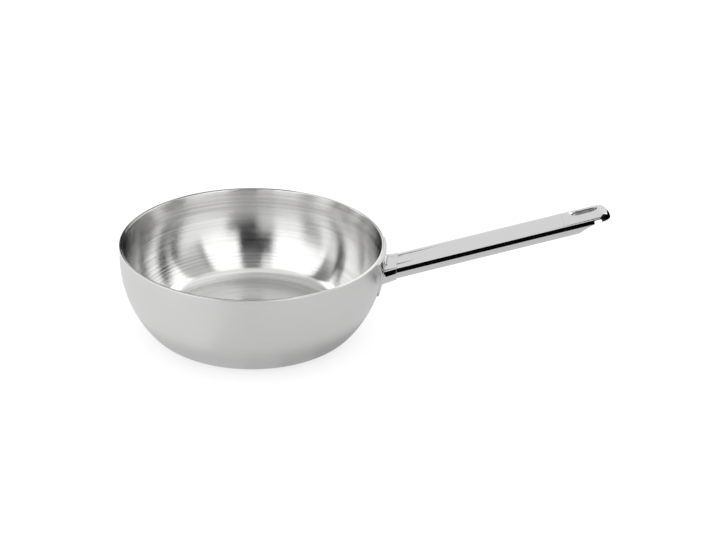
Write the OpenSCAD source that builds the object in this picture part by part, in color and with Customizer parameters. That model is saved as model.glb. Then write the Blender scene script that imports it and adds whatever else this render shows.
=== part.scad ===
// Saucier pan, 24 cm: a round-sided bowl pressed from five bonded plies,
// with a tube handle carried by a plate that is welded on under the rim.
// All sizes are millimetres. The base rests on z = 0 with its centre at the
// origin, and the handle points along +X.

/* [Bowl] */
// Outer diameter of the bowl at the rim
rim_od = 246; // [200:1:300]
// Height of the rim above the surface that the pan stands on
bowl_h = 87; // [70:1:110]
// Height of the upright band below the rim
rim_band_h = 14.5; // [5:0.5:22]
// Outer radius of the bend between the base and the side
corner_r = 23; // [14:0.5:30]
// Angle that this bend turns through, in degrees, before the side begins
corner_sweep = 51.5; // [40:0.5:60]

/* [Plies] */
// Thickness of the stainless steel that the food touches
liner_t = 0.5; // [0.3:0.1:1]
// Thickness of the soft aluminium that bonds the liner to the core
upper_ply_t = 0.4; // [0.2:0.1:1]
// Thickness of the aluminium alloy that spreads the heat
core_t = 1.2; // [0.8:0.1:2.5]
// Thickness of the soft aluminium that bonds the core to the outer skin
lower_ply_t = 0.4; // [0.2:0.1:1]
// Thickness of the magnetic stainless steel outside
skin_t = 0.5; // [0.4:0.1:1]

/* [Rim] */
// Height of the steel band that seals the inner plies at the rim
seal_h = 2.5; // [1.5:0.1:4]
// Radius on the two edges of the rim
rim_edge_r = 0.7; // [0.2:0.1:1]
// Depth of the fine groove where liner and skin meet on the rim
seam_groove = 0.25; // [0.1:0.05:0.4]

/* [Handle plate] */
// Thickness of the plate that hugs the bowl
plate_t = 1.6; // [1.2:0.1:3]
// Distance from the rim down to the upper edge of the plate
plate_top_gap = 1; // [0.5:0.1:4]
// Width of the plate along its upper edge, before its corners are cut
plate_top_w = 62; // [46:0.5:70]
// Height over which the two wings narrow down to the tongue
plate_wing_h = 18.5; // [12:0.5:24]
// Width of the tongue that runs down behind the neck
plate_tongue_w = 29; // [26:0.5:30]
// Radius of the arc that closes the tongue below
plate_end_r = 15.5; // [15.5:0.5:24]
// Height of the whole plate, measured straight down from its upper edge
plate_h = 46; // [40:0.5:50]
// Radius of the inner corner between a wing and the tongue
plate_corner_r = 8; // [3:1:8]
// Width cut off each sharp upper corner
plate_tip_cut = 1; // [0.5:0.1:3]

/* [Handle] */
// Tilt of the handle above level, in degrees
handle_tilt = 19.8; // [5:0.2:30]
// Distance from the rim down to the point where the handle's axis meets the wall
handle_drop = 20; // [18:0.5:24]
// Length of the handle from the wall to its tip, along its axis
handle_len = 213; // [150:1:260]
// Outer diameter of the tube beside the neck
tube_od = 22.6; // [19:0.1:23]
// Outer diameter that the taper would reach at the tip
tip_od = 21.5; // [18:0.1:22]
// Diameter of the bore of the tube
tube_bore = 18.6; // [12:0.1:18.8]
// Length of the neck, measured level from the wall to the seam
neck_len = 12.6; // [8:0.2:20]
// Diameter of the neck where its axis meets the wall
neck_root_od = 26.2; // [24:0.1:30]
// Step between the neck and the tube at the seam, on the radius
neck_step = 0.25; // [0:0.05:0.6]
// Bore that keeps the neck light and slow to carry heat
neck_bore = 13; // [6:0.5:15]
// Depth that each spigot reaches into the tube
spigot_depth = 12; // [6:0.5:20]
// Clearance on the radius between a spigot and the tube
spigot_fit = 0.05; // [0.02:0.01:0.15]

/* [Hanging end] */
// Length of the solid end beyond the tube
end_len = 41; // [38:0.5:60]
// Length of the hanging slot
slot_len = 23; // [18:0.5:26]
// Width of the hanging slot
slot_w = 10; // [8:0.5:16]
// Steel left between the slot and the tip
slot_tip_gap = 9.8; // [8:0.2:14]
// Depth of the bevel round the top of the slot, below the crest of the handle
slot_bevel = 2.8; // [1:0.1:3.5]
// Radius of the arc that brings the top down to the tip
crown_r = 20; // [14:0.5:30]
// Depth of the underside scoop, measured up from the bottom of the tube
scoop_depth = 8.8; // [3:0.2:9]
// Radius of the underside scoop
scoop_r = 33; // [28:1:60]
// Distance from the tip back to the highest point of the scoop
scoop_peak_gap = 9; // [0:0.5:12]
// Width of the cross groove under the tip
groove_w = 6.4; // [3:0.2:8]
// Depth of the cross groove above the scoop
groove_depth = 3; // [1:0.2:4]
// Steel left between the cross groove and the tip
groove_tip_gap = 7.6; // [4:0.2:9]
// Radius of the two inner corners of the cross groove
groove_corner_r = 1; // [0.3:0.1:1.4]

/* [Hidden] */
$fn = 144;

STEEL = "#c9cbcd";
BRIGHT_STEEL = "#dcdee0";
ALUMINIUM = "#b4b7ba";
ALLOY = "#9fa3a8";
reach = 400; // longer than any outline that a wedge or a block has to span
overlap = 1; // how far a cut or a joined shape runs past the face that it meets

// The bowl's outline: base, corner bend, side arc and upright band, each tangent to the next
rim_r = rim_od / 2;
band_z = bowl_h - rim_band_h;
corner_top_z = corner_r * (1 - cos(corner_sweep));
side_r = (band_z - corner_top_z) / cos(corner_sweep);
base_r = rim_r - side_r * (1 - sin(corner_sweep)) - corner_r * sin(corner_sweep);
corner_c = [base_r, corner_r];
side_c = [rim_r - side_r, band_z];

// Depth of each joint between plies, measured in from the outer face
d_skin = skin_t;
d_lower = d_skin + lower_ply_t;
d_core = d_lower + core_t;
d_upper = d_core + upper_ply_t;
wall_t = d_upper + liner_t;
seal_z = bowl_h - seal_h;
seam_r = rim_r - wall_t / 2;

// The plate's outline, in a plane with its origin on the rim's height and y down the bowl
wing_half = plate_top_w / 2;
tongue_r = plate_tongue_w / 2;
wing_end_y = plate_top_gap + plate_wing_h;
tongue_arc_y = plate_top_gap + plate_h - plate_end_r;
wing_angle = atan2(wing_half - tongue_r, plate_wing_h);
corner_c_x = tongue_r + plate_corner_r;
corner_c_y = wing_end_y + plate_corner_r * tan(wing_angle / 2);

// The handle's own frame has x along its axis, from the wall out, and z square to it, upwards
axis_z = bowl_h - handle_drop;
seam_x = rim_r + neck_len;
tube_end = handle_len - end_len;
slot_end = handle_len - slot_tip_gap;
tip_r = tip_od / 2;
spigot_r = tube_bore / 2 - spigot_fit;
crown_x = handle_len - sqrt(crown_r * crown_r - pow(crown_r - tip_r, 2));
bevel_z = tip_r - slot_bevel;
scoop_z = scoop_depth - tip_r;
groove_end = handle_len - groove_tip_gap;
cover = tube_od; // half the size of a block that spans the handle

function tube_r(x) = tube_od / 2 + (tip_od - tube_od) / 2 * x / handle_len;
function spot(c, r, a) = [c.x + r * cos(a), c.y + r * sin(a)];

// Wedge with its point at c, between two directions given in degrees
module wedge(c, from, to) {
    polygon([c, for (i = [0:2]) spot(c, reach, from + (to - from) * i / 2)]);
}

// Part of a ring about c, with outer radius r_out and inner radius r_in
module ring_sector(c, r_out, r_in, from, to) {
    intersection() {
        translate(c) difference() {
            circle(r_out);
            if (r_in > 0) circle(r_in);
        }
        wedge(c, from, to);
    }
}

// One layer of the bowl's wall, from d_out to d_in inside the outer face, up to the height top
module wall_layer(d_out, d_in, top) {
    translate([0, d_out]) square([base_r, d_in - d_out]);
    ring_sector(corner_c, corner_r - d_out, corner_r - d_in, -90, corner_sweep - 90);
    ring_sector(side_c, side_r - d_out, side_r - d_in, corner_sweep - 90, 0);
    translate([rim_r - d_in, band_z]) square([d_in - d_out, top - band_z]);
}

// Everything inside the face that lies d inside the bowl's outer face
module bowl_section(d) {
    polygon([[0, d], [base_r, d], corner_c, side_c, [0, side_c.y]]);
    ring_sector(corner_c, corner_r - d, 0, -90, corner_sweep - 90);
    ring_sector(side_c, side_r - d, 0, corner_sweep - 90, 0);
    translate([0, band_z]) square([rim_r - d, rim_band_h]);
}

// Waste outside a rounded corner: inward is +1 where the material lies towards +x, else -1
module corner_waste(corner, r, inward) {
    difference() {
        translate([corner.x - (inward < 0 ? r : 0), corner.y - r]) square(r);
        translate([corner.x + inward * r, corner.y - r]) circle(r);
    }
}

// Steel lip that closes the rim between two radii, with its outer corner rounded
// and the corner at the seam cut to one side of the fine groove
module rim_lip(r_in, r_out, seam_is_outer) {
    edge_r = seam_is_outer ? r_in : r_out;
    groove_r = seam_is_outer ? r_out : r_in;
    side = seam_is_outer ? 1 : -1;
    difference() {
        translate([r_in, seal_z]) square([r_out - r_in, seal_h]);
        corner_waste([edge_r, bowl_h], rim_edge_r, side);
        polygon([
            [groove_r, bowl_h - seam_groove],
            [groove_r - side * seam_groove, bowl_h],
            [groove_r, bowl_h]
        ]);
    }
}

module cooking_liner() {
    color(STEEL) rotate_extrude() {
        wall_layer(d_upper, wall_t, seal_z);
        rim_lip(rim_r - wall_t, seam_r, true);
    }
}

module inner_ply(d_out, d_in) {
    rotate_extrude() wall_layer(d_out, d_in, seal_z);
}

module outer_skin() {
    color(STEEL) rotate_extrude() {
        wall_layer(0, d_skin, seal_z);
        rim_lip(seam_r, rim_r, false);
    }
}

// Waste beside the plate, on the side given by +1 or -1: it leaves the wing's slanted edge,
// the inner corner and the tongue's upright edge
module plate_side_waste(side) {
    upright = side > 0 ? 180 : 0;
    slanted = upright + side * wing_angle;
    c = [side * corner_c_x, corner_c_y];
    polygon([
        c,
        spot(c, plate_corner_r, slanted),
        [side * (wing_half + overlap * tan(wing_angle)), plate_top_gap - overlap],
        [side * reach, plate_top_gap - overlap],
        [side * reach, reach],
        [side * tongue_r, reach],
        spot(c, plate_corner_r, upright)
    ]);
    ring_sector(c, plate_corner_r, 0, min(upright, slanted), max(upright, slanted));
}

// Outline of the plate: two wings that lie along the rim, and a tongue with a rounded end
module plate_outline() {
    blunt_w = plate_top_w - 2 * plate_tip_cut;
    blank_w = plate_tongue_w + overlap;
    difference() {
        union() {
            translate([-blunt_w / 2, plate_top_gap]) square([blunt_w, corner_c_y - plate_top_gap]);
            translate([-blank_w / 2, wing_end_y]) square([blank_w, tongue_arc_y + overlap - wing_end_y]);
            translate([0, tongue_arc_y]) intersection() {
                circle(plate_end_r);
                translate([-cover, 0]) square(2 * cover);
            }
        }
        for (side = [-1, 1]) plate_side_waste(side);
    }
}

module handle_plate() {
    color(BRIGHT_STEEL) intersection() {
        rotate_extrude() {
            ring_sector(side_c, side_r + plate_t, side_r, corner_sweep - 90, 0);
            translate([rim_r, band_z]) square([plate_t, rim_band_h]);
        }
        translate([0, 0, bowl_h]) rotate([-90, 0, -90]) linear_extrude(reach) plate_outline();
    }
}

// Place children in the handle's frame
module at_handle() {
    translate([rim_r, 0, axis_z]) rotate([0, -handle_tilt, 0]) children();
}

// Round bar along the handle's axis from x1 to x2
module bar(x1, x2, r1, r2) {
    translate([x1, 0, 0]) rotate([0, 90, 0]) cylinder(h = x2 - x1, r1 = r1, r2 = r2);
}

// All space on the bowl's side of the upright seam plane
module inside_seam() {
    translate([-reach, -reach / 2, -reach / 2]) cube([reach + seam_x, reach, reach]);
}

module handle_neck() {
    neck_r = tube_od / 2 + neck_step;
    seam_s = neck_len / cos(handle_tilt);
    root_r = neck_root_od / 2;
    bottom_s = seam_s + neck_r * tan(handle_tilt);
    slope = (neck_r - root_r) / bottom_s;
    color(BRIGHT_STEEL) difference() {
        union() {
            intersection() {
                at_handle() bar(-root_r, bottom_s, root_r - slope * root_r, neck_r);
                inside_seam();
            }
            at_handle() bar(0, seam_s + spigot_depth, spigot_r, spigot_r);
        }
        at_handle() bar(-root_r, seam_s + spigot_depth + overlap, neck_bore / 2, neck_bore / 2);
        rotate_extrude() bowl_section(-plate_t);
    }
}

module handle_tube() {
    color(BRIGHT_STEEL) difference() {
        at_handle() difference() {
            bar(0, tube_end, tube_r(0), tube_r(tube_end));
            bar(-overlap, tube_end + overlap, tube_bore / 2, tube_bore / 2);
        }
        inside_seam();
    }
}

// Side view of the solid end: level along the tube, then a crown arc down to the tip
module end_side_view() {
    translate([tube_end, -cover]) square([crown_x - tube_end, 2 * cover]);
    translate([crown_x, tip_r - crown_r]) intersection() {
        circle(crown_r);
        square(crown_r);
    }
    translate([crown_x - overlap, -cover]) square([handle_len - crown_x + overlap, cover]);
}

// Top view of the solid end: straight sides and a half-round tip
module end_top_view() {
    round_x = handle_len - tip_r;
    translate([round_x, 0]) circle(tip_r);
    translate([tube_end, -cover]) square([round_x - tube_end, 2 * cover]);
}

// Long hole with half-round ends, and the bevel that widens it towards the top
module hanging_slot() {
    r = slot_w / 2;
    top_r = r + cover - bevel_z;
    far = slot_end - r;
    near = slot_end - slot_len + r;
    for (x = [near, far]) translate([x, 0, 0]) {
        translate([0, 0, -cover]) cylinder(h = 2 * cover, r = r);
        translate([0, 0, bevel_z]) cylinder(h = cover - bevel_z, r1 = r, r2 = top_r);
    }
    translate([near, -r, -cover]) cube([far - near, slot_w, 2 * cover]);
    translate([near, 0, 0]) rotate([90, 0, 90]) linear_extrude(far - near)
        polygon([[-r, bevel_z], [-top_r, cover], [top_r, cover], [r, bevel_z]]);
}

// Groove across the underside, with rounded inner corners
module cross_groove() {
    top_z = scoop_z + groove_depth;
    r = groove_corner_r;
    start = groove_end - groove_w;
    rotate([90, 0, 0]) linear_extrude(2 * cover, center = true) {
        translate([start, -cover]) square([groove_w, top_z - r + cover]);
        translate([start + r, top_z - r - overlap]) square([groove_w - 2 * r, r + overlap]);
        for (x = [start + r, groove_end - r]) translate([x, top_z - r]) circle(r);
    }
}

module handle_end() {
    color(BRIGHT_STEEL) at_handle() {
        difference() {
            intersection() {
                bar(tube_end, handle_len, tube_r(tube_end), tip_r);
                rotate([90, 0, 0]) linear_extrude(2 * cover, center = true) end_side_view();
                linear_extrude(2 * cover, center = true) end_top_view();
            }
            hanging_slot();
            cross_groove();
            translate([handle_len - scoop_peak_gap, 0, scoop_z - scoop_r]) rotate([90, 0, 0])
                cylinder(h = 2 * cover, r = scoop_r, center = true);
        }
        bar(tube_end - spigot_depth, tube_end + overlap, spigot_r, spigot_r);
    }
}

cooking_liner();
color(ALUMINIUM) inner_ply(d_core, d_upper);  // upper_aluminium_ply
color(ALLOY) inner_ply(d_lower, d_core);  // core_alloy_ply
color(ALUMINIUM) inner_ply(d_skin, d_lower);  // lower_aluminium_ply
outer_skin();
handle_plate();
handle_neck();
handle_tube();
handle_end();
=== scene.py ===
# %% [markdown]
# The pan arrives as a fixed frame of solid pieces: five plies of the bowl, a plate, a neck,
# a tube and a slotted end. This lesson gives each of them the shape and the look of the real
# one, step by step. The frame is in metres, the base stands on z = 0 and the handle points
# along +X. Sizes below are in millimetres, as in the workshop, and MM turns them into metres.

# %% Load the frame
from math import asin, atan2, cos, degrees, radians, sin, sqrt, tan, tau

import bpy
from mathutils import Euler, Matrix, Vector


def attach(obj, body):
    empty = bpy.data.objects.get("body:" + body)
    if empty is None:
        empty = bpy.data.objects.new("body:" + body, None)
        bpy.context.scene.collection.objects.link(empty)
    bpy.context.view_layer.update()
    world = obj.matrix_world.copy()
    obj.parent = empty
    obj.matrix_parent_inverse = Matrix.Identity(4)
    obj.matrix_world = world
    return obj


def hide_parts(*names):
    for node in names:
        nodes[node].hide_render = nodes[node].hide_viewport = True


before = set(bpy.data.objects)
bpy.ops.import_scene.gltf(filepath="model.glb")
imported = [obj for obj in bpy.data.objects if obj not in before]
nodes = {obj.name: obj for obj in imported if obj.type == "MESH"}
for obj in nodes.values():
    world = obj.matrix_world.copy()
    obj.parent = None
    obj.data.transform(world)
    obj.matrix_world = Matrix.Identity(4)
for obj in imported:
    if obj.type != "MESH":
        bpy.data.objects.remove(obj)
bpy.context.view_layer.update()
MM = 0.001
print("pieces in the frame:", sorted(nodes))

# %% [markdown]
# The camera stands 1.35 m from the bowl and looks down at it by 26 degrees. A camera can be
# aimed at the bowl and shifted sideways until the handle is in the picture, or aimed at the
# middle of the whole pan. The second way keeps every other view of the pan centred too, so it
# is used here, and a small roll keeps the bowl upright in the picture.

# %% Camera
PICTURE_WIDTH = 716
STATION = Vector((0.2130, -1.1832, 0.6542))
AZIMUTH = -5.50
ELEVATION = 26.40
ROLL = 1.88
FOCAL_PIXELS = 1425.2
SENSOR_WIDTH = 36


def add_camera():
    data = bpy.data.cameras.new("camera")
    data.sensor_width = SENSOR_WIDTH
    data.lens = FOCAL_PIXELS * SENSOR_WIDTH / PICTURE_WIDTH
    camera = bpy.data.objects.new("camera", data)
    aim = Euler((radians(90 - ELEVATION), 0, radians(-AZIMUTH))).to_matrix()
    turned = aim @ Matrix.Rotation(radians(ROLL), 3, "Z")
    camera.rotation_euler = turned.to_euler()
    camera.location = STATION
    bpy.context.scene.collection.objects.link(camera)
    bpy.context.scene.camera = camera
    return camera


camera = add_camera()
bpy.context.scene.view_settings.view_transform = "Standard"
print("camera at", [round(v, 3) for v in camera.location], "lens", round(camera.data.lens, 2), "mm")

# %% [markdown]
# Most pieces of a pan are turned or drawn: they have one outline that goes round an axis, or
# one that is pushed through a thickness. So the first tools of this lesson draw an outline.
# A piece begins as one vertex. A straight stroke extrudes that vertex, and an arc spins it
# round a centre, so that the last vertex made is always the one that goes on.


# %% Drawing tools
DOUBLE_GAP = 0.0005
SHARP_ANGLE = 30
SOFT_ANGLE = 40
ROUND_STEPS = 256


def begin_piece(name, x, z):
    """Starts a piece with a single vertex in the plane y = 0, and stays in edit mode."""
    bpy.ops.object.select_all(action="DESELECT")
    bpy.ops.mesh.primitive_plane_add(size=MM)
    piece = bpy.context.object
    piece.name = name
    piece.data.name = name
    bpy.ops.object.mode_set(mode="EDIT")
    bpy.ops.mesh.select_mode(type="VERT")
    bpy.ops.mesh.select_all(action="SELECT")
    bpy.ops.mesh.merge(type="CENTER")
    bpy.ops.transform.translate(value=(x * MM, 0, z * MM))
    return piece


def line_to(place, target):
    step = (Vector(target) - place) * MM
    bpy.ops.mesh.extrude_region_move(TRANSFORM_OT_translate={"value": (step.x, 0, step.y)})
    return Vector(target)


def arc_about(place, centre, sweep, steps):
    """Spins the last vertex round a centre; a positive sweep goes from +x towards +z."""
    middle = (centre[0] * MM, 0, centre[1] * MM)
    bpy.ops.mesh.spin(steps=steps, angle=radians(sweep), center=middle, axis=(0, 1, 0))
    return Vector(centre) + Matrix.Rotation(radians(sweep), 2) @ (place - Vector(centre))


def draw(name, start, strokes):
    """Draws strokes: (x, z) is a straight line to that place, (centre, sweep, steps) an arc."""
    piece = begin_piece(name, *start)
    place = Vector(start)
    for stroke in strokes:
        if len(stroke) == 2:
            place = line_to(place, stroke)
        else:
            place = arc_about(place, *stroke)
    return piece


def finish_mesh(piece, smooth_angle):
    """Merges doubles, turns all normals outwards and leaves edit mode with smooth shading."""
    bpy.ops.mesh.select_all(action="SELECT")
    bpy.ops.mesh.remove_doubles(threshold=DOUBLE_GAP * MM)
    bpy.ops.mesh.normals_make_consistent(inside=False)
    bpy.ops.object.mode_set(mode="OBJECT")
    bpy.ops.object.shade_smooth_by_angle(angle=radians(smooth_angle))
    return piece


def turn_round(piece, axis):
    """Turns the drawn outline all the way round an axis through the origin."""
    bpy.ops.mesh.select_all(action="SELECT")
    bpy.ops.mesh.spin(steps=ROUND_STEPS, angle=tau, center=(0, 0, 0), axis=axis)
    return finish_mesh(piece, SHARP_ANGLE)


def stand_for(piece, node):
    """Puts the piece in place of a node of the frame."""
    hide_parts(node)
    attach(piece, "root")
    print(piece.name, "has", len(piece.data.polygons), "faces")


# %% [markdown]
# The bowl is pressed from a round blank of five bonded plies, so its wall is the same outline
# five times, each one deeper by the thickness of a ply. The outline is a flat base, a bend, a
# long side arc and an upright band, each tangent to the next. Only the outermost and the
# innermost ply can be seen, as the two steels meet in a sealed lip at the rim. Both are drawn
# as a closed section of real thickness and turned round the upright axis.

# %% Outline of the bowl
RIM_R = 123
BOWL_H = 87
BAND_Z = 72.5
BEND_R = 23
BEND_SWEEP = 51.5
SIDE_SWEEP = 90 - BEND_SWEEP
SIDE_R = BEND_R + (BAND_Z - BEND_R) / sin(radians(SIDE_SWEEP))
BASE_R = RIM_R - SIDE_R + (SIDE_R - BEND_R) * cos(radians(SIDE_SWEEP))
BEND_CENTRE = (BASE_R, BEND_R)
SIDE_CENTRE = (RIM_R - SIDE_R, BAND_Z)
SEAL_Z = 84.5
SEAM_R = 121.5
LIP_EDGE_R = 0.7
GROOVE = 0.25
BEND_STEPS = 24
SIDE_STEPS = 36
LIP_STEPS = 8
print("base radius", round(BASE_R, 2), "side arc radius", round(SIDE_R, 2))


def rising_face(depth):
    """Strokes from the edge of the base up to the band, at a depth inside the outer face."""
    return [
        (BASE_R, depth),
        (BEND_CENTRE, BEND_SWEEP, BEND_STEPS),
        (SIDE_CENTRE, SIDE_SWEEP, SIDE_STEPS),
    ]


def falling_face(depth):
    """The same strokes downwards, ending at the axis."""
    return [
        (RIM_R - depth, BAND_Z),
        (SIDE_CENTRE, -SIDE_SWEEP, SIDE_STEPS),
        (BEND_CENTRE, -BEND_SWEEP, BEND_STEPS),
        (0, depth),
    ]


# %% [markdown]
# The liner is the steel that the food touches. Its section runs up the face that is bonded to
# the aluminium, out to the seam with the skin, round the lip and down the inside to the axis.
# A surface alone would look the same from above, but a closed section gives a solid with a
# real lip.

# %% Cooking liner
LINER_OUT = 2.5
LINER_IN = 3.0
LIP_IN_CENTRE = (RIM_R - LINER_IN + LIP_EDGE_R, BOWL_H - LIP_EDGE_R)

liner = draw("cooking_liner_ringed", (0, LINER_OUT), [
    *rising_face(LINER_OUT),
    (RIM_R - LINER_OUT, SEAL_Z),
    (SEAM_R, SEAL_Z),
    (SEAM_R, BOWL_H - GROOVE),
    (SEAM_R - GROOVE, BOWL_H),
    (LIP_IN_CENTRE[0], BOWL_H),
    (LIP_IN_CENTRE, 90, LIP_STEPS),
    *falling_face(LINER_IN),
])
turn_round(liner, (0, 0, 1))
stand_for(liner, "cooking_liner")

# %% [markdown]
# The outer skin is the magnetic steel that stands on the hob. It is drawn in the same way from
# the other side. Both lips have a small groove where they meet, which shows as the fine line
# of the sealed rim.

# %% Outer skin
SKIN_T = 0.5
LIP_OUT_CENTRE = (RIM_R - LIP_EDGE_R, BOWL_H - LIP_EDGE_R)

skin = draw("outer_skin_satin", (0, 0), [
    *rising_face(0),
    (RIM_R, BOWL_H - LIP_EDGE_R),
    (LIP_OUT_CENTRE, 90, LIP_STEPS),
    (SEAM_R + GROOVE, BOWL_H),
    (SEAM_R, BOWL_H - GROOVE),
    (SEAM_R, SEAL_Z),
    (RIM_R - SKIN_T, SEAL_Z),
    *falling_face(SKIN_T),
])
turn_round(skin, (0, 0, 1))
stand_for(skin, "outer_skin")

# %% [markdown]
# The plate is cut from sheet as a T: two wings that lie under the rim and a tongue that runs
# down behind the neck. It is drawn flat and given its thickness, and its edges are broken by a
# small bevel, because a cut edge is never left sharp where a hand may touch it.

# %% Handle plate
PLATE_T = 1.6
PLATE_TOP = 86
WING_HALF = 31
WING_H = 18.5
TIP_CUT = 1
TONGUE_HALF = 14.5
CORNER_R = 8
TONGUE_END_R = 15.5
TONGUE_END_Z = 55.5
CELL = 1.6
EDGE_BEVEL = 0.35
BEVEL_STEPS = 3
CORNER_STEPS = 16
TONGUE_STEPS = 48
WING_SLOPE = degrees(atan2(WING_HALF - TONGUE_HALF, WING_H))
CORNER_X = TONGUE_HALF + CORNER_R
CORNER_Z = PLATE_TOP - WING_H - CORNER_R * tan(radians(WING_SLOPE / 2))
WING_END = (
    CORNER_X - CORNER_R * cos(radians(WING_SLOPE)),
    CORNER_Z + CORNER_R * sin(radians(WING_SLOPE)),
)
WING_TIP = (WING_HALF - TIP_CUT, PLATE_TOP - TIP_CUT / tan(radians(WING_SLOPE)))
END_ANGLE = degrees(asin(sqrt(TONGUE_END_R**2 - TONGUE_HALF**2) / TONGUE_END_R))


def face_radius(z, depth):
    """Distance from the bowl's axis to a face that stands depth proud of the bowl's outside."""
    if z >= BAND_Z:
        return RIM_R + depth
    return SIDE_CENTRE[0] + sqrt((SIDE_R + depth) ** 2 - (z - BAND_Z) ** 2)


plate = draw("handle_plate_polished", (-WING_TIP[0], PLATE_TOP), [
    (WING_TIP[0], PLATE_TOP),
    WING_TIP,
    WING_END,
    ((CORNER_X, CORNER_Z), WING_SLOPE, CORNER_STEPS),
    (TONGUE_HALF, TONGUE_END_Z - TONGUE_END_R * sin(radians(END_ANGLE))),
    ((0, TONGUE_END_Z), 2 * END_ANGLE - 180, TONGUE_STEPS),
    (-TONGUE_HALF, CORNER_Z),
    ((-CORNER_X, CORNER_Z), WING_SLOPE, CORNER_STEPS),
    (-WING_TIP[0], WING_TIP[1]),
])
bpy.ops.mesh.select_all(action="SELECT")
bpy.ops.mesh.edge_face_add()
bpy.ops.mesh.extrude_region_move(TRANSFORM_OT_translate={"value": (0, PLATE_T * MM, 0)})
bpy.ops.mesh.bevel(offset=EDGE_BEVEL * MM, segments=BEVEL_STEPS)

# %% [markdown]
# A press then bends the flat plate round the bowl. Here the plate is cut into narrow cells, so
# that it can bend, and every vertex is laid on the bowl: the drawing's width stays its width,
# and its depth becomes the distance from the bowl's outer face. A Shrinkwrap modifier could do
# the bending, but it would lose the thickness.


# %% Bend the plate round the bowl
def cut_cells(lowest, highest, normal):
    """Cuts the piece by parallel planes, one cell apart."""
    count = int((highest - lowest) / CELL)
    for step in range(1, count):
        place = lowest + (highest - lowest) * step / count
        bpy.ops.mesh.select_all(action="SELECT")
        bpy.ops.mesh.bisect(plane_co=Vector(normal) * place * MM, plane_no=normal)


cut_cells(-WING_HALF, WING_HALF, (1, 0, 0))
cut_cells(TONGUE_END_Z - TONGUE_END_R, PLATE_TOP, (0, 0, 1))
bpy.ops.object.mode_set(mode="OBJECT")
for vertex in plate.data.vertices:
    across, depth, z = vertex.co / MM
    out = sqrt(face_radius(z, depth) ** 2 - across**2)
    vertex.co = Vector((out, across, z)) * MM
bpy.ops.object.mode_set(mode="EDIT")
finish_mesh(plate, SOFT_ANGLE)
stand_for(plate, "handle_plate")

# %% [markdown]
# Neck, tube and end are turned on the handle's own axis, which leaves the wall 20 mm below the
# rim and rises by 19.8 degrees. They are drawn lying along X, with x counted from the wall,
# and one call then lifts them into place.
# The tube is a real tube, with a bore. It is cut square at its far end, and at the near end by
# the upright seam plane, where it meets the neck.

# %% Handle tube
HANDLE_TILT = 19.8
HANDLE_FOOT = Vector((RIM_R, 0, 67))
HANDLE_LEN = 213
TUBE_R = 11.3
TIP_R = 10.75
TUBE_BORE_R = 9.3
TUBE_END = 172
SEAM_X = 135.6
END_BREAK = 0.04


def tube_radius(x):
    return TUBE_R + (TIP_R - TUBE_R) * x / HANDLE_LEN


def lift_into_place(piece):
    """Moves a piece that lies along X onto the handle's axis, and applies the move."""
    bpy.ops.object.select_all(action="DESELECT")
    piece.select_set(True)
    bpy.context.view_layer.objects.active = piece
    piece.rotation_euler = (0, -radians(HANDLE_TILT), 0)
    piece.location = HANDLE_FOOT * MM
    bpy.ops.object.transform_apply(location=True, rotation=True, scale=False)


tube = draw("handle_tube_polished", (0, TUBE_BORE_R), [
    (0, tube_radius(0)),
    (TUBE_END - END_BREAK, tube_radius(TUBE_END)),
    (TUBE_END, tube_radius(TUBE_END) - END_BREAK),
    (TUBE_END, TUBE_BORE_R),
    (0, TUBE_BORE_R),
])
turn_round(tube, (1, 0, 0))
lift_into_place(tube)
bpy.ops.object.mode_set(mode="EDIT")
bpy.ops.mesh.select_all(action="SELECT")
bpy.ops.mesh.bisect(plane_co=(SEAM_X * MM, 0, 0), plane_no=(1, 0, 0), clear_inner=True)
bpy.ops.mesh.select_all(action="DESELECT")
bpy.ops.mesh.select_non_manifold()
bpy.ops.mesh.bridge_edge_loops()
finish_mesh(tube, SHARP_ANGLE)
stand_for(tube, "handle_tube")

# %% [markdown]
# The neck is a short flared cone. Its foot follows the curved plate with a small weld fillet,
# its other end is the seam plane, and a spigot goes on into the tube. It is turned as if both
# ends were square, and then its vertices slide along the handle's axis. These helpers say
# where a line along the handle meets the plate, where it meets the seam plane, and how one
# vertex gets there while its radius follows the cone.

# %% Where the neck meets the others
NECK_ROOT_R = 13.1
NECK_SEAM_R = 11.55
SPIGOT_R = 9.25
MARGIN = 0.1
PLATE_PASSES = 12
CONE_PASSES = 3
COS_TILT = cos(radians(HANDLE_TILT))
SIN_TILT = sin(radians(HANDLE_TILT))
SEAM_S = (SEAM_X - RIM_R) / COS_TILT
NECK_SLOPE = (NECK_SEAM_R - NECK_ROOT_R) / (SEAM_S + NECK_SEAM_R * tan(radians(HANDLE_TILT)))
print("neck:", round(SEAM_S, 2), "mm on the axis, slope", round(NECK_SLOPE, 4))


def to_plate(y, h):
    """Where a line along the handle at (y, h) meets the plate's outer face, by iteration."""
    x = 0
    for _ in range(PLATE_PASSES):
        z = HANDLE_FOOT.z + x * SIN_TILT + h * COS_TILT
        out = sqrt(face_radius(z, PLATE_T) ** 2 - y**2)
        x = (out - RIM_R + h * SIN_TILT) / COS_TILT
    return x


def to_seam(y, h):
    """Where that line meets the upright seam plane."""
    return (SEAM_X - RIM_R + h * SIN_TILT) / COS_TILT


def seat_vertex(vertex, start, meets):
    """Slides one vertex along the handle, from the plane x = start to the face it meets."""
    x, y, h = vertex.co / MM
    radius = sqrt(y * y + h * h)
    follows_cone = radius > SPIGOT_R + MARGIN
    grown = radius
    for _ in range(CONE_PASSES):
        slide = meets(y * grown / radius, h * grown / radius)
        if follows_cone:
            grown = radius + NECK_SLOPE * slide
    vertex.co = Vector((x - start + slide, y * grown / radius, h * grown / radius)) * MM


# %% [markdown]
# Now the neck is drawn and turned, and the vertices of its foot and its seam are seated. The
# plate and the seam plane could cut the neck instead, but then the fillet would not follow the
# plate.

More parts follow.
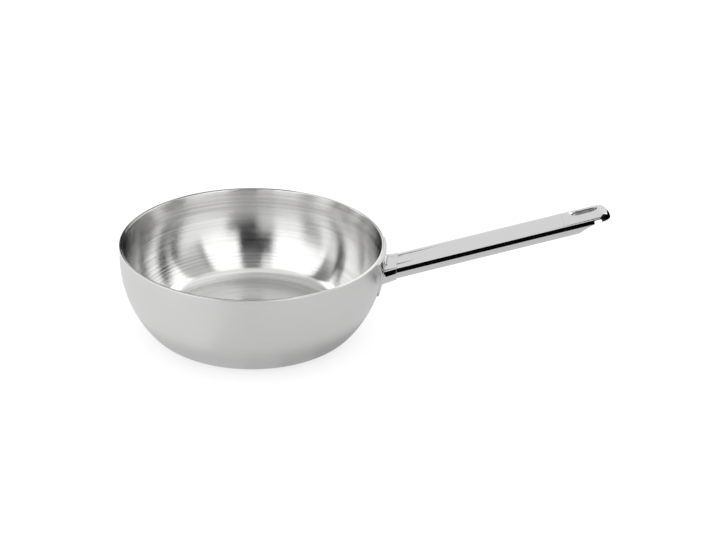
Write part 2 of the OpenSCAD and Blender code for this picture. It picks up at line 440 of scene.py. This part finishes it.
# %% Handle neck
SPIGOT_DEPTH = 12
SPIGOT_END = SEAM_S + SPIGOT_DEPTH
NECK_BORE_R = 6.5
FILLET = 1.2
FILLET_STEPS = 6
SEAM_BREAK = 0.12

neck = draw("handle_neck_polished", (0, NECK_BORE_R), [
    (0, NECK_ROOT_R + FILLET),
    ((FILLET, NECK_ROOT_R + FILLET), 90, FILLET_STEPS),
    (SEAM_S - SEAM_BREAK, NECK_ROOT_R),
    (SEAM_S, NECK_ROOT_R - SEAM_BREAK),
    (SEAM_S, SPIGOT_R),
    (SPIGOT_END, SPIGOT_R),
    (SPIGOT_END, NECK_BORE_R),
    (0, NECK_BORE_R),
])
turn_round(neck, (1, 0, 0))
for vertex in neck.data.vertices:
    if vertex.co.x < (FILLET + MARGIN) * MM:
        seat_vertex(vertex, 0, to_plate)
    elif vertex.co.x < (SEAM_S + MARGIN) * MM:
        seat_vertex(vertex, SEAM_S, to_seam)
lift_into_place(neck)
bpy.ops.object.mode_set(mode="EDIT")
finish_mesh(neck, SOFT_ANGLE)
stand_for(neck, "handle_neck")

# %% [markdown]
# The end of the handle is solid steel, and it is the most shaped piece of the pan. It is cut
# here as a toolmaker would cut it: a turned bar loses a crown and a half-round tip, then a
# slot with a bevelled mouth, a scoop underneath and a groove across the scoop. The cutters are
# made first, each a little longer than the bar is wide. The first two are outlines that are
# pushed through. One lets the top fall in an arc to the tip, the other rounds the tip as seen
# from above.

# %% Crown and tip cutters
REACH = 14
BEYOND = HANDLE_LEN + 4
CROWN_R = 20
CROWN_X = HANDLE_LEN - sqrt(CROWN_R**2 - (CROWN_R - TIP_R) ** 2)
CROWN_CENTRE = (CROWN_X, TIP_R - CROWN_R)
CROWN_SWEEP = degrees(atan2(HANDLE_LEN - CROWN_X, CROWN_R - TIP_R))
CROWN_STEPS = 60
ROUND_X = HANDLE_LEN - TIP_R
TIP_STEPS = 90
print("the crown starts at", round(CROWN_X, 2), "and the round tip at", ROUND_X)


def push_through(piece, start, way):
    """Fills the drawn outline and pushes it through, from y = start by way."""
    bpy.ops.mesh.select_all(action="SELECT")
    bpy.ops.mesh.edge_face_add()
    bpy.ops.transform.translate(value=(0, start * MM, 0))
    bpy.ops.mesh.extrude_region_move(TRANSFORM_OT_translate={"value": (0, way * MM, 0)})
    return finish_mesh(piece, SHARP_ANGLE)


def crown_cutter():
    cutter = draw("crown_cutter", (CROWN_X, TIP_R), [
        (CROWN_CENTRE, -CROWN_SWEEP, CROWN_STEPS),
        (BEYOND, 0),
        (BEYOND, REACH),
        (CROWN_X, REACH),
    ])
    return push_through(cutter, -REACH, 2 * REACH)


def tip_cutter():
    """Drawn upright and then laid down, so that it trims the tip as seen from above."""
    cutter = draw("tip_cutter", (ROUND_X, TIP_R), [
        ((ROUND_X, 0), -180, TIP_STEPS),
        (ROUND_X, -REACH),
        (BEYOND, -REACH),
        (BEYOND, REACH),
        (ROUND_X, REACH),
    ])
    push_through(cutter, -REACH, 2 * REACH)
    cutter.rotation_euler = (radians(90), 0, 0)
    bpy.ops.object.transform_apply(location=True, rotation=True, scale=False)
    return cutter


# %% [markdown]
# The slot takes a hook. Its mouth is bevelled all round, which a straight cutter can't do, and
# bevelling the finished edge would have to follow the round bar. So a side view of the slot's
# edge is swept along the slot's outline, round its ends and along its sides.

# %% Slot cutter
SLOT_R = 5
SLOT_NEAR = 185.2
SLOT_FAR = 198.2
BEVEL_Z = 7.95
SLOT_STEP = 3
SLOT_DOUBLE_GAP = 0.001
SLOT_LEN = SLOT_FAR - SLOT_NEAR + 2 * SLOT_R
print("the slot is", round(SLOT_LEN, 1), "mm long and", 2 * SLOT_R, "mm wide")


def slot_cutter():
    """A side view of the slot's edge, swept all the way along the slot's outline."""
    widest = SLOT_NEAR - SLOT_R - (REACH - BEVEL_Z)
    cutter = draw("slot_cutter", (SLOT_NEAR - SLOT_R, -REACH), [
        (SLOT_NEAR - SLOT_R, BEVEL_Z),
        (widest, REACH),
    ])
    bpy.ops.mesh.select_all(action="SELECT")
    length = (SLOT_FAR - SLOT_NEAR) * MM
    for centre, sweep, run in (
        (SLOT_NEAR, 90, length),
        (SLOT_FAR, 180, -length),
        (SLOT_NEAR, 90, 0),
    ):
        middle = (centre * MM, 0, 0)
        steps = sweep // SLOT_STEP
        bpy.ops.mesh.spin(steps=steps, angle=radians(sweep), center=middle, axis=(0, 0, 1))
        if run:
            bpy.ops.mesh.extrude_region_move(TRANSFORM_OT_translate={"value": (run, 0, 0)})
    bpy.ops.mesh.select_all(action="SELECT")
    bpy.ops.mesh.remove_doubles(threshold=SLOT_DOUBLE_GAP * MM)
    bpy.ops.mesh.select_all(action="DESELECT")
    bpy.ops.mesh.select_non_manifold()
    bpy.ops.mesh.edge_face_add()
    return finish_mesh(cutter, SHARP_ANGLE)


# %% [markdown]
# Underneath, a scoop and a groove across it give the fingers a hold. The scoop is cut by a
# large cylinder that lies across the bar, with so many sides that they don't show, and the
# groove by one more outline that is pushed through.

# %% Scoop and groove cutters
SCOOP_R = 33
SCOOP_X = 204
SCOOP_Z = -1.95
SCOOP_STEPS = 720
GROOVE_START = 199.0
GROOVE_END = 205.4
GROOVE_TOP = 1.05
GROOVE_R = 1
GROOVE_STEPS = 8
print("the groove is", round(GROOVE_END - GROOVE_START, 1), "mm wide")


def scoop_cutter():
    bpy.ops.object.select_all(action="DESELECT")
    bpy.ops.mesh.primitive_cylinder_add(
        vertices=SCOOP_STEPS,
        radius=SCOOP_R * MM,
        depth=2 * REACH * MM,
        location=(SCOOP_X * MM, 0, (SCOOP_Z - SCOOP_R) * MM),
        rotation=(radians(90), 0, 0),
    )
    bpy.ops.object.transform_apply(location=True, rotation=True, scale=False)
    cutter = bpy.context.object
    cutter.name = "scoop_cutter"
    return cutter


def groove_cutter():
    cutter = draw("groove_cutter", (GROOVE_START, -REACH), [
        (GROOVE_START, GROOVE_TOP - GROOVE_R),
        ((GROOVE_START + GROOVE_R, GROOVE_TOP - GROOVE_R), -90, GROOVE_STEPS),
        (GROOVE_END - GROOVE_R, GROOVE_TOP),
        ((GROOVE_END - GROOVE_R, GROOVE_TOP - GROOVE_R), -90, GROOVE_STEPS),
        (GROOVE_END, -REACH),
    ])
    return push_through(cutter, -REACH, 2 * REACH)


# %% [markdown]
# Each cutter is then taken away from the bar by a Boolean modifier. The cuts could be modelled
# by hand in the bar's own faces, but round cuts through a round bar meet in curves that only a
# Boolean finds exactly.


# %% Cut the handle's end
def cut_away(piece, cutter):
    modifier = piece.modifiers.new("cut", "BOOLEAN")
    modifier.object = cutter
    modifier.operation = "DIFFERENCE"
    modifier.solver = "EXACT"
    bpy.ops.object.select_all(action="DESELECT")
    piece.select_set(True)
    bpy.context.view_layer.objects.active = piece
    bpy.ops.object.modifier_apply(modifier="cut")
    print("after the", cutter.name, len(piece.data.polygons), "faces")
    bpy.data.objects.remove(cutter)


BLANK_START = 168
end = draw("handle_end_polished", (BLANK_START, 0), [
    (BLANK_START, tube_radius(BLANK_START)),
    (HANDLE_LEN, TIP_R),
    (HANDLE_LEN, 0),
])
turn_round(end, (1, 0, 0))
for make_cutter in (crown_cutter, tip_cutter, slot_cutter, scoop_cutter, groove_cutter):
    cut_away(end, make_cutter())

# %% [markdown]
# Polishing takes the sharpness off every edge. A bevel can't follow the curves where the cuts
# meet, but a fine voxel remesh followed by a Smooth modifier can. The remesh also moves the
# turned sides a little, so vertices close to the cone are put back on it, and the joint with
# the tube stays flush. Last, the bar is cut square and gets its spigot.

# %% Polish the handle's end
VOXEL = 0.3
POLISH_PASSES = 24
NEAR_CONE = 0.12


def modify(piece, name, kind, **settings):
    """Adds a modifier, sets it and applies it."""
    modifier = piece.modifiers.new(name, kind)
    for setting, value in settings.items():
        setattr(modifier, setting, value)
    bpy.ops.object.select_all(action="DESELECT")
    piece.select_set(True)
    bpy.context.view_layer.objects.active = piece
    bpy.ops.object.modifier_apply(modifier=name)


modify(end, "voxels", "REMESH", mode="VOXEL", voxel_size=VOXEL * MM, adaptivity=0)
modify(end, "polish", "SMOOTH", factor=0.5, iterations=POLISH_PASSES)
for vertex in end.data.vertices:
    x, y, z = vertex.co / MM
    radius = sqrt(y * y + z * z)
    cone = tube_radius(x)
    if abs(cone - radius) < NEAR_CONE:
        vertex.co.y *= cone / radius
        vertex.co.z *= cone / radius

bpy.ops.object.mode_set(mode="EDIT")
bpy.ops.mesh.select_all(action="SELECT")
bpy.ops.mesh.bisect(
    plane_co=(TUBE_END * MM, 0, 0),
    plane_no=(1, 0, 0),
    clear_inner=True,
    use_fill=True,
)
bpy.ops.mesh.inset(thickness=(tube_radius(TUBE_END) - SPIGOT_R) * MM)
bpy.ops.mesh.extrude_region_move(TRANSFORM_OT_translate={"value": (-SPIGOT_DEPTH * MM, 0, 0)})
finish_mesh(end, SOFT_ANGLE)
lift_into_place(end)
stand_for(end, "handle_end")

# %% [markdown]
# Every finish is worked out by shader nodes. They could be wired one by one, as in the node
# editor, but a formula is easier to read. So this small class wraps one socket, and plain
# Python arithmetic on it adds the Math nodes. A Math node knows only single numbers, so a
# colour is made at the end, from three of them.


# %% Wires
class Wire:
    """An output socket that can be used in an expression."""

    def __init__(self, finish, socket):
        self.finish = finish
        self.socket = socket

    def math(self, operation, *values):
        return self.finish.node("Math", {"operation": operation}, dict(enumerate(values)))

    def __add__(self, other):
        return self.math("ADD", self, other)

    def __sub__(self, other):
        return self.math("SUBTRACT", self, other)

    def __rsub__(self, other):
        return self.math("SUBTRACT", other, self)

    def __mul__(self, other):
        return self.math("MULTIPLY", self, other)

    def __truediv__(self, other):
        return self.math("DIVIDE", self, other)

    def __pow__(self, other):
        return self.math("POWER", self, other)

    def at_least(self, other):
        return self.math("MAXIMUM", self, other)

    def swing(self, size):
        """Noise swings about a half; this swings about zero, and size says how far."""
        return size * (self - 0.5)

    def band(self, low, high):
        """0 below low, 1 above high and a smooth rise between them."""
        inputs = {"Value": self, "From Min": low, "From Max": high}
        return self.finish.node("MapRange", {"interpolation_type": "SMOOTHSTEP"}, inputs)

    __radd__ = __add__
    __rmul__ = __mul__


# %% [markdown]
# A finish is a material with its Principled shader. One method makes any other node: it takes
# the node's type, its settings, and the values or wires of its sockets. The rest are short
# names for what every finish here needs: the place on the piece, a vector, and noise.


# %% Finishes
class Finish:
    """A material, its node tree and its Principled shader."""

    def __init__(self, name):
        self.material = bpy.data.materials.new(name)
        self.material.use_nodes = True
        self.tree = self.material.node_tree
        self.tree.nodes.clear()
        self.shader = self.tree.nodes.new("ShaderNodeBsdfPrincipled")
        output = self.tree.nodes.new("ShaderNodeOutputMaterial")
        self.tree.links.new(self.shader.outputs[0], output.inputs["Surface"])

    def node(self, kind, settings=None, inputs=None, out=0):
        made = self.tree.nodes.new("ShaderNode" + kind)
        for name, value in (settings or {}).items():
            setattr(made, name, value)
        for name, value in (inputs or {}).items():
            self.feed(made.inputs[name], value)
        return Wire(self, made.outputs[out])

    def feed(self, socket, value):
        if isinstance(value, Wire):
            self.tree.links.new(value.socket, socket)
        else:
            socket.default_value = value

    def set(self, **values):
        for name, value in values.items():
            self.feed(self.shader.inputs[name.replace("_", " ")], value)

    def place(self):
        """The three Object coordinates of the shaded point."""
        first = self.node("SeparateXYZ", inputs={0: self.node("TexCoord", out="Object")})
        return [Wire(self, socket) for socket in first.socket.node.outputs]

    def vector(self, x, y, z):
        return self.node("CombineXYZ", inputs={0: x, 1: y, 2: z})

    def noise(self, vector, detail=2.0):
        inputs = {"Vector": vector, "Scale": 1.0, "Detail": detail, "Roughness": 0.5}
        return self.node("TexNoise", inputs=inputs)


def dress(pieces, finish):
    for piece in pieces:
        piece.data.materials.clear()
        piece.data.materials.append(finish.material)
    print(finish.material.name, "on", [piece.name for piece in pieces])


# %% [markdown]
# Inside, the bowl is brushed while it turns, so the steel carries fine rings. A ring pattern
# could be painted with a Wave texture, but its rings would be all alike. This one is noise
# stretched round the axis: its first coordinate is radius plus height, which grows all the way
# up the outline, and its others change slowly with the direction seen from the axis, so that
# the pattern closes on itself.


# %% Ring pattern
SMALLEST_R = 0.0005


def ring_place(finish, drift):
    """A vector that runs fast along the bowl's outline and slowly round the axis."""
    x, y, z = finish.place()
    radius = ((x * x + y * y) ** 0.5).at_least(SMALLEST_R)
    along = (radius + z) / MM
    return along, x / radius * drift, y / radius * drift


def rings(finish, pitch, drift, detail=2.0):
    """Noise in rings, about one ring to a pitch in millimetres."""
    along, east, north = ring_place(finish, drift)
    return finish.noise(finish.vector(along / pitch, east, north), detail)


# %% [markdown]
# Brushed rings smear a reflection up and down the wall and never round it, and that gives the
# upright light and dark sectors of such a pan. The shader does this with anisotropy whose
# direction is turned by a quarter. Rings of three sizes then give the lines that the eye can
# follow, a change of gloss and the finest bump. The lip was polished afterwards, so a mask on
# the height takes the rings away there.

# %% Liner finish
LINER_GREY = 0.74
LINER_ROUGHNESS = 0.13
LIP_POLISH = (BOWL_H - 1.4, BOWL_H - 0.6)
QUARTER_TURN = 0.25
RING_DEPTH = 0.02

liner_finish = Finish("liner_steel_ringed")
broad = rings(liner_finish, pitch=2.6, drift=0.7)
fine = rings(liner_finish, pitch=0.9, drift=0.5)
hair = rings(liner_finish, pitch=0.3, drift=0.5, detail=1.0)
height = liner_finish.place()[2] / MM
polished = height.band(*LIP_POLISH)
tone = LINER_GREY + broad.swing(0.26) + fine.swing(0.24)
gloss_lines = broad.swing(0.05) + fine.swing(0.04)
liner_bump = {
    "Strength": 1.0,
    "Distance": RING_DEPTH * MM,
    "Height": (0.8 * broad + 0.6 * fine + hair) * (1 - polished),
}
liner_finish.set(
    Base_Color=liner_finish.vector(tone, tone * 0.998, tone * 0.992),
    Metallic=1.0,
    Roughness=(LINER_ROUGHNESS + gloss_lines) * (1 - 0.5 * polished),
    Anisotropic=1.0,
    Anisotropic_Rotation=QUARTER_TURN,
    Normal=liner_finish.node("Bump", inputs=liner_bump),
)
dress([liner], liner_finish)

# %% [markdown]
# Outside, the skin is blasted or brushed to an even satin. It is almost without direction, so
# it needs no anisotropy: a fine grain in the bump, slow clouds in the roughness and faint
# rings are enough. The rim was polished last, so its edge is glossier, which a mask on the
# height takes care of.

# %% Skin finish
SKIN_GREY = 0.66
SKIN_ROUGHNESS = 0.46
EDGE_POLISH = (BOWL_H - 0.8, BOWL_H - 0.2)
GRAINS_PER_METRE = 2600
CLOUDS_ROUND = 22
CLOUDS_UP = 30
SKIN_DEPTH = 0.02

skin_finish = Finish("skin_steel_satin")
x, y, z = skin_finish.place()
grain_place = [way * GRAINS_PER_METRE for way in (x, y, z)]
cloud_place = [x * CLOUDS_ROUND, y * CLOUDS_ROUND, z * CLOUDS_UP]
grain = skin_finish.noise(skin_finish.vector(*grain_place))
clouds = skin_finish.noise(skin_finish.vector(*cloud_place))
faint = rings(skin_finish, pitch=3.0, drift=2.0)
polished = (z / MM).band(*EDGE_POLISH)
tone = SKIN_GREY + grain.swing(0.03) + clouds.swing(0.03) + faint.swing(0.03)
skin_bump = {"Strength": 0.2, "Distance": SKIN_DEPTH * MM, "Height": grain + 0.4 * faint}
skin_finish.set(
    Base_Color=skin_finish.vector(tone, tone, tone * 0.995),
    Metallic=1.0,
    Roughness=SKIN_ROUGHNESS + clouds.swing(0.08) + grain.swing(0.06) - 0.2 * polished,
    Normal=skin_finish.node("Bump", inputs=skin_bump),
)
dress([skin], skin_finish)

# %% [markdown]
# The handle is mirror polished. A perfect mirror looks like glass, so this one has what a
# polished bar has: a little slow waviness from the polishing wheel, hair scratches that run
# along it, and a roughness that changes with them.

# %% Handle finish
HANDLE_GREY = 0.64
HANDLE_ROUGHNESS = 0.07
HAIRS_ALONG = 0.05
HAIRS_ACROSS = 3.0
WAVES_ALONG = 0.06
WAVES_ACROSS = 0.12
WAVE_DEPTH = 0.05

handle_finish = Finish("handle_steel_polished")
x, y, z = handle_finish.place()
lengthwise = (x * COS_TILT + z * SIN_TILT) / MM
upwards = (z * COS_TILT - x * SIN_TILT) / MM
sideways = y / MM


def handle_noise(along, across, detail):
    """Noise with so many waves to a millimetre along the handle, and so many across it."""
    place = handle_finish.vector(lengthwise * along, sideways * across, upwards * across)
    return handle_finish.noise(place, detail)


hairs = handle_noise(HAIRS_ALONG, HAIRS_ACROSS, 3.0)
waves = handle_noise(WAVES_ALONG, WAVES_ACROSS, 1.0)
tone = HANDLE_GREY + hairs.swing(0.03)
handle_bump = {"Strength": 0.3, "Distance": WAVE_DEPTH * MM, "Height": waves + 0.05 * hairs}
handle_finish.set(
    Base_Color=handle_finish.vector(tone, tone, tone * 0.998),
    Metallic=1.0,
    Roughness=HANDLE_ROUGHNESS + hairs.swing(0.05) + waves.swing(0.03),
    Normal=handle_finish.node("Bump", inputs=handle_bump),
)
dress([plate, neck, tube, end], handle_finish)

# %% [markdown]
# The three plies between liner and skin can't be seen in the whole pan. They are rolled
# aluminium sheet. New pieces could stand for them, but the frame's own solids have the right
# shape, so they stay and get a finish with the lines that rolling leaves.

# %% Aluminium of the inner plies
ALUMINIUM_GREY = 0.78
ALUMINIUM_ROUGHNESS = 0.42
WAVES_PER_METRE = (40, 2500, 400)
ROLL_DEPTH = 0.02
PLY_NODES = ("upper_aluminium_ply", "core_alloy_ply", "lower_aluminium_ply")

ply_finish = Finish("ply_aluminium_rolled")
stretched = [way * scale for way, scale in zip(ply_finish.place(), WAVES_PER_METRE)]
roll_lines = ply_finish.noise(ply_finish.vector(*stretched))
tone = ALUMINIUM_GREY + roll_lines.swing(0.08)
ply_bump = {"Strength": 0.15, "Distance": ROLL_DEPTH * MM, "Height": roll_lines}
ply_finish.set(
    Base_Color=ply_finish.vector(tone, tone * 1.003, tone * 1.01),
    Metallic=1.0,
    Roughness=ALUMINIUM_ROUGHNESS + roll_lines.swing(0.14),
    Normal=ply_finish.node("Bump", inputs=ply_bump),
)
for name in PLY_NODES:
    nodes[name].material_slots[0].material = ply_finish.material
print(ply_finish.material.name, "on", PLY_NODES)

# %% [markdown]
# Polished steel shows its surroundings, so the studio is most of its look. The pan stands on
# a plain floor in a plain white world. The floor is a grey that glows, so that it comes out
# white in the picture and still shows the soft shadow of the pan. More lamps would also whiten
# it, but they would burn out the steel.

# %% Floor and world
FLOOR_SIZE = 12
FLOOR_GREY = 0.5
FLOOR_GLOW = 0.6
WHITE = (1, 1, 1, 1)
BLACK = (0, 0, 0, 1)

bpy.ops.object.select_all(action="DESELECT")
bpy.ops.mesh.primitive_plane_add(size=FLOOR_SIZE, location=(0, 0, 0))
floor = bpy.context.object
floor.name = "floor"
floor_finish = Finish("floor_white")
floor_finish.set(Base_Color=(FLOOR_GREY, FLOOR_GREY, FLOOR_GREY, 1), Roughness=1.0)
floor_finish.set(Emission_Color=WHITE, Emission_Strength=FLOOR_GLOW)
floor.data.materials.append(floor_finish.material)

world = bpy.data.worlds.new("studio")
bpy.context.scene.world = world
world.use_nodes = True
background = world.node_tree.nodes["Background"]
background.inputs["Color"].default_value = WHITE
background.inputs["Strength"].default_value = 1.0

# %% [markdown]
# A lamp shows in a mirror only as a dot, so a photographer of cookware lights it with large
# softboxes and black cards. Here they are plain glowing cards, brighter or darker than the
# world. They are seen in reflections only: the camera looks through them, and they throw no
# light and no shadow on the floor. Most of them are spun round an upright axis or are flat.


# %% Card tools
SPIN_STEP = 3


def card_finish(name, level):
    finish = Finish(name)
    finish.set(Base_Color=BLACK, Roughness=1.0, Specular_IOR_Level=0.0)
    finish.set(Emission_Color=WHITE, Emission_Strength=level)
    return finish


def show_in_reflections_only(card, level):
    card.data.materials.append(card_finish(card.name + "_light", level).material)
    card.visible_camera = False
    card.visible_diffuse = False
    card.visible_shadow = False
    print(card.name, "glows at", level)


def spun_card(name, centre, start, stop, first, last, level):
    """A stroke from start to stop, each a (radius, height) in mm, spun round a centre.
    Directions are in degrees from straight ahead (-Y), growing towards +X."""
    card = draw(name, start, [stop])
    bpy.ops.mesh.select_all(action="SELECT")
    steps = max(2, int((last - first) / SPIN_STEP))
    sweep = -radians(last - first)
    bpy.ops.mesh.spin(steps=steps, angle=sweep, center=(0, 0, 0), axis=(0, 0, 1))
    bpy.ops.object.mode_set(mode="OBJECT")
    card.rotation_euler = (0, 0, radians(first - 90))
    card.location = (centre[0] * MM, centre[1] * MM, 0)
    bpy.ops.object.transform_apply(location=True, rotation=True, scale=False)
    show_in_reflections_only(card, level)


def flat_card(name, middle, width, length, level, tip=0):
    """A flat card of a width along X, in metres, lying down or tipped up by an angle."""
    bpy.ops.mesh.primitive_plane_add(size=1, location=middle, rotation=(radians(tip), 0, 0))
    card = bpy.context.object
    card.name = name
    card.scale = (width, length, 1)
    bpy.ops.object.transform_apply(location=False, rotation=True, scale=True)
    show_in_reflections_only(card, level)


# %% [markdown]
# Inside the bowl a ray leaves after one to four bounces, and the direction in which it leaves
# decides what it meets. So most cards stand far out, and each fills the view between two
# directions. A dark gap straight ahead, between two bright boxes, gives the dark sector in the
# back of the bowl, and a thin dark line and two greys give its sides.

# %% Cards far out
AXIS = (0, 0)
FAR_R = 2500

for name, low, high, first, last, level in (
    ("dark_front", 350, 1560, -1, 24, 0.02),
    ("grey_front", 1560, 4300, -1, 24, 0.25),
    ("box_right", 0, 4300, 26, 60, 1.45),
    ("dark_line", 670, 3000, 62, 67, 0.35),
    ("grey_right", 670, 3000, 67, 96, 0.6),
    ("box_back_right", 0, 3000, 97, 150, 1.6),
    ("box_back_left", 0, 2776, -138, -90, 1.6),
    ("grey_left", 0, 2776, -88, -67, 0.25),
):
    spun_card(name, AXIS, (FAR_R, low), (FAR_R, high), first, last, level)

# %% [markdown]
# The handle is a mirror too, and it would show a far box on the left as a stripe. So the box
# for the bowl's right wall stands near, curved round a place at the back of the bowl, where
# the bowl sees it and the handle hardly does.

# %% Near box on the left
NEAR_R = 320
BACK_OF_BOWL = (30, 100)
BOX_LOW = 95
BOX_HIGH = 420

spun_card("box_left", BACK_OF_BOWL, (NEAR_R, BOX_LOW), (NEAR_R, BOX_HIGH), -64, -18, 1.5)

# %% [markdown]
# Under its round side the pan shades the floor, and its satin skin shows that shade. The floor
# here glows and would be too bright, so a grey ring of painted shadow lies round the foot, just
# above the floor. It has four sectors, darker towards the right, away from the light, and the
# small steps between them don't show in satin steel.

# %% Painted shadow: grey ring round the foot
RING_IN = (84, 0.3)
RING_OUT = (122, 0.3)

# Painted shadow: grey sectors seen only in the skin, darker towards the right.
for name, first, last, level in (
    ("foot_shadow_left", -140, 5, 0.66),
    ("foot_shadow_front", 5, 25, 0.60),
    ("foot_shadow_middle", 25, 45, 0.50),
    ("foot_shadow_right", 45, 110, 0.40),
):
    spun_card(name, AXIS, RING_IN, RING_OUT, first, last, level)

# %% [markdown]
# Three flat cards finish what the bowl sees: a small black one in front widens the dark gap
# without showing in the handle, a black one behind gives the front rim its dark line and the
# top of the back wall its grey, and a grey one above keeps the bowl's floor darker than its
# side.

# %% Flat cards round the bowl
UPRIGHT = 90

flat_card("dark_front_near", (-0.018, -0.25, 0.19), 0.076, 0.16, 0.02, UPRIGHT)
flat_card("dark_back", (-0.2, 0.25, 0.2), 0.4, 0.36, 0.02, UPRIGHT)
flat_card("grey_ceiling", (-0.09, 0.14, 0.3), 0.18, 0.17, 0.6)

# %% [markdown]
# A polished tube in a white room looks flat until something black runs along it. A skirt of
# black card beside the lower half of the handle gives it the one dark line from neck to tip.
# It is drawn in the handle's own frame as a section, spun round the tip, pulled back along the
# handle and lifted with the same call as the tube.


# %% Black skirt round the handle
SKIRT_TOP = (ROUND_X + 23, 2.2)
SKIRT_FOOT = (ROUND_X + 19.7, -10.2)
SKIRT_STEPS = 24
SKIRT_LEN = 200


def skirt(name, turn):
    """A black ribbon beside the handle's lower half, from the neck to the middle of the tip."""
    card = draw(name, SKIRT_TOP, [SKIRT_FOOT])
    bpy.ops.mesh.select_all(action="SELECT")
    middle = (ROUND_X * MM, 0, 0)
    bpy.ops.mesh.spin(steps=SKIRT_STEPS, angle=radians(turn), center=middle, axis=(0, 0, 1))
    bpy.ops.mesh.extrude_region_move(TRANSFORM_OT_translate={"value": (-SKIRT_LEN * MM, 0, 0)})
    bpy.ops.object.mode_set(mode="OBJECT")
    lift_into_place(card)
    show_in_reflections_only(card, 0.0)


skirt("dark_skirt_front", 90)
skirt("dark_skirt_back", -90)

# %% [markdown]
# The outside of the bowl and the underside of the handle mirror mostly the floor. As steel
# shows it, the floor is a little grey, and brighter on the left than on the right: this is
# painted shading, as if more light fell on the left, and it rounds the bowl. Two cards a tenth
# of a millimetre above the floor do this and leave the floor that the camera sees white.

# %% Painted shading of the floor as the steel shows it
CARD_SIZE = 3
CARD_LIFT = 0.0001
EDGE_X = -0.03

# Painted shading: the floor as the steel shows it, lighter on the left, darker on the right.
for name, side, level in (("floor_shading_left", -1, 0.94), ("floor_shading_right", 1, 0.78)):
    middle = (EDGE_X + side * CARD_SIZE / 2, 0, CARD_LIFT)
    flat_card(name, middle, CARD_SIZE, CARD_SIZE, level)

# %% [markdown]

# %% Update the view layer
bpy.context.view_layer.update()
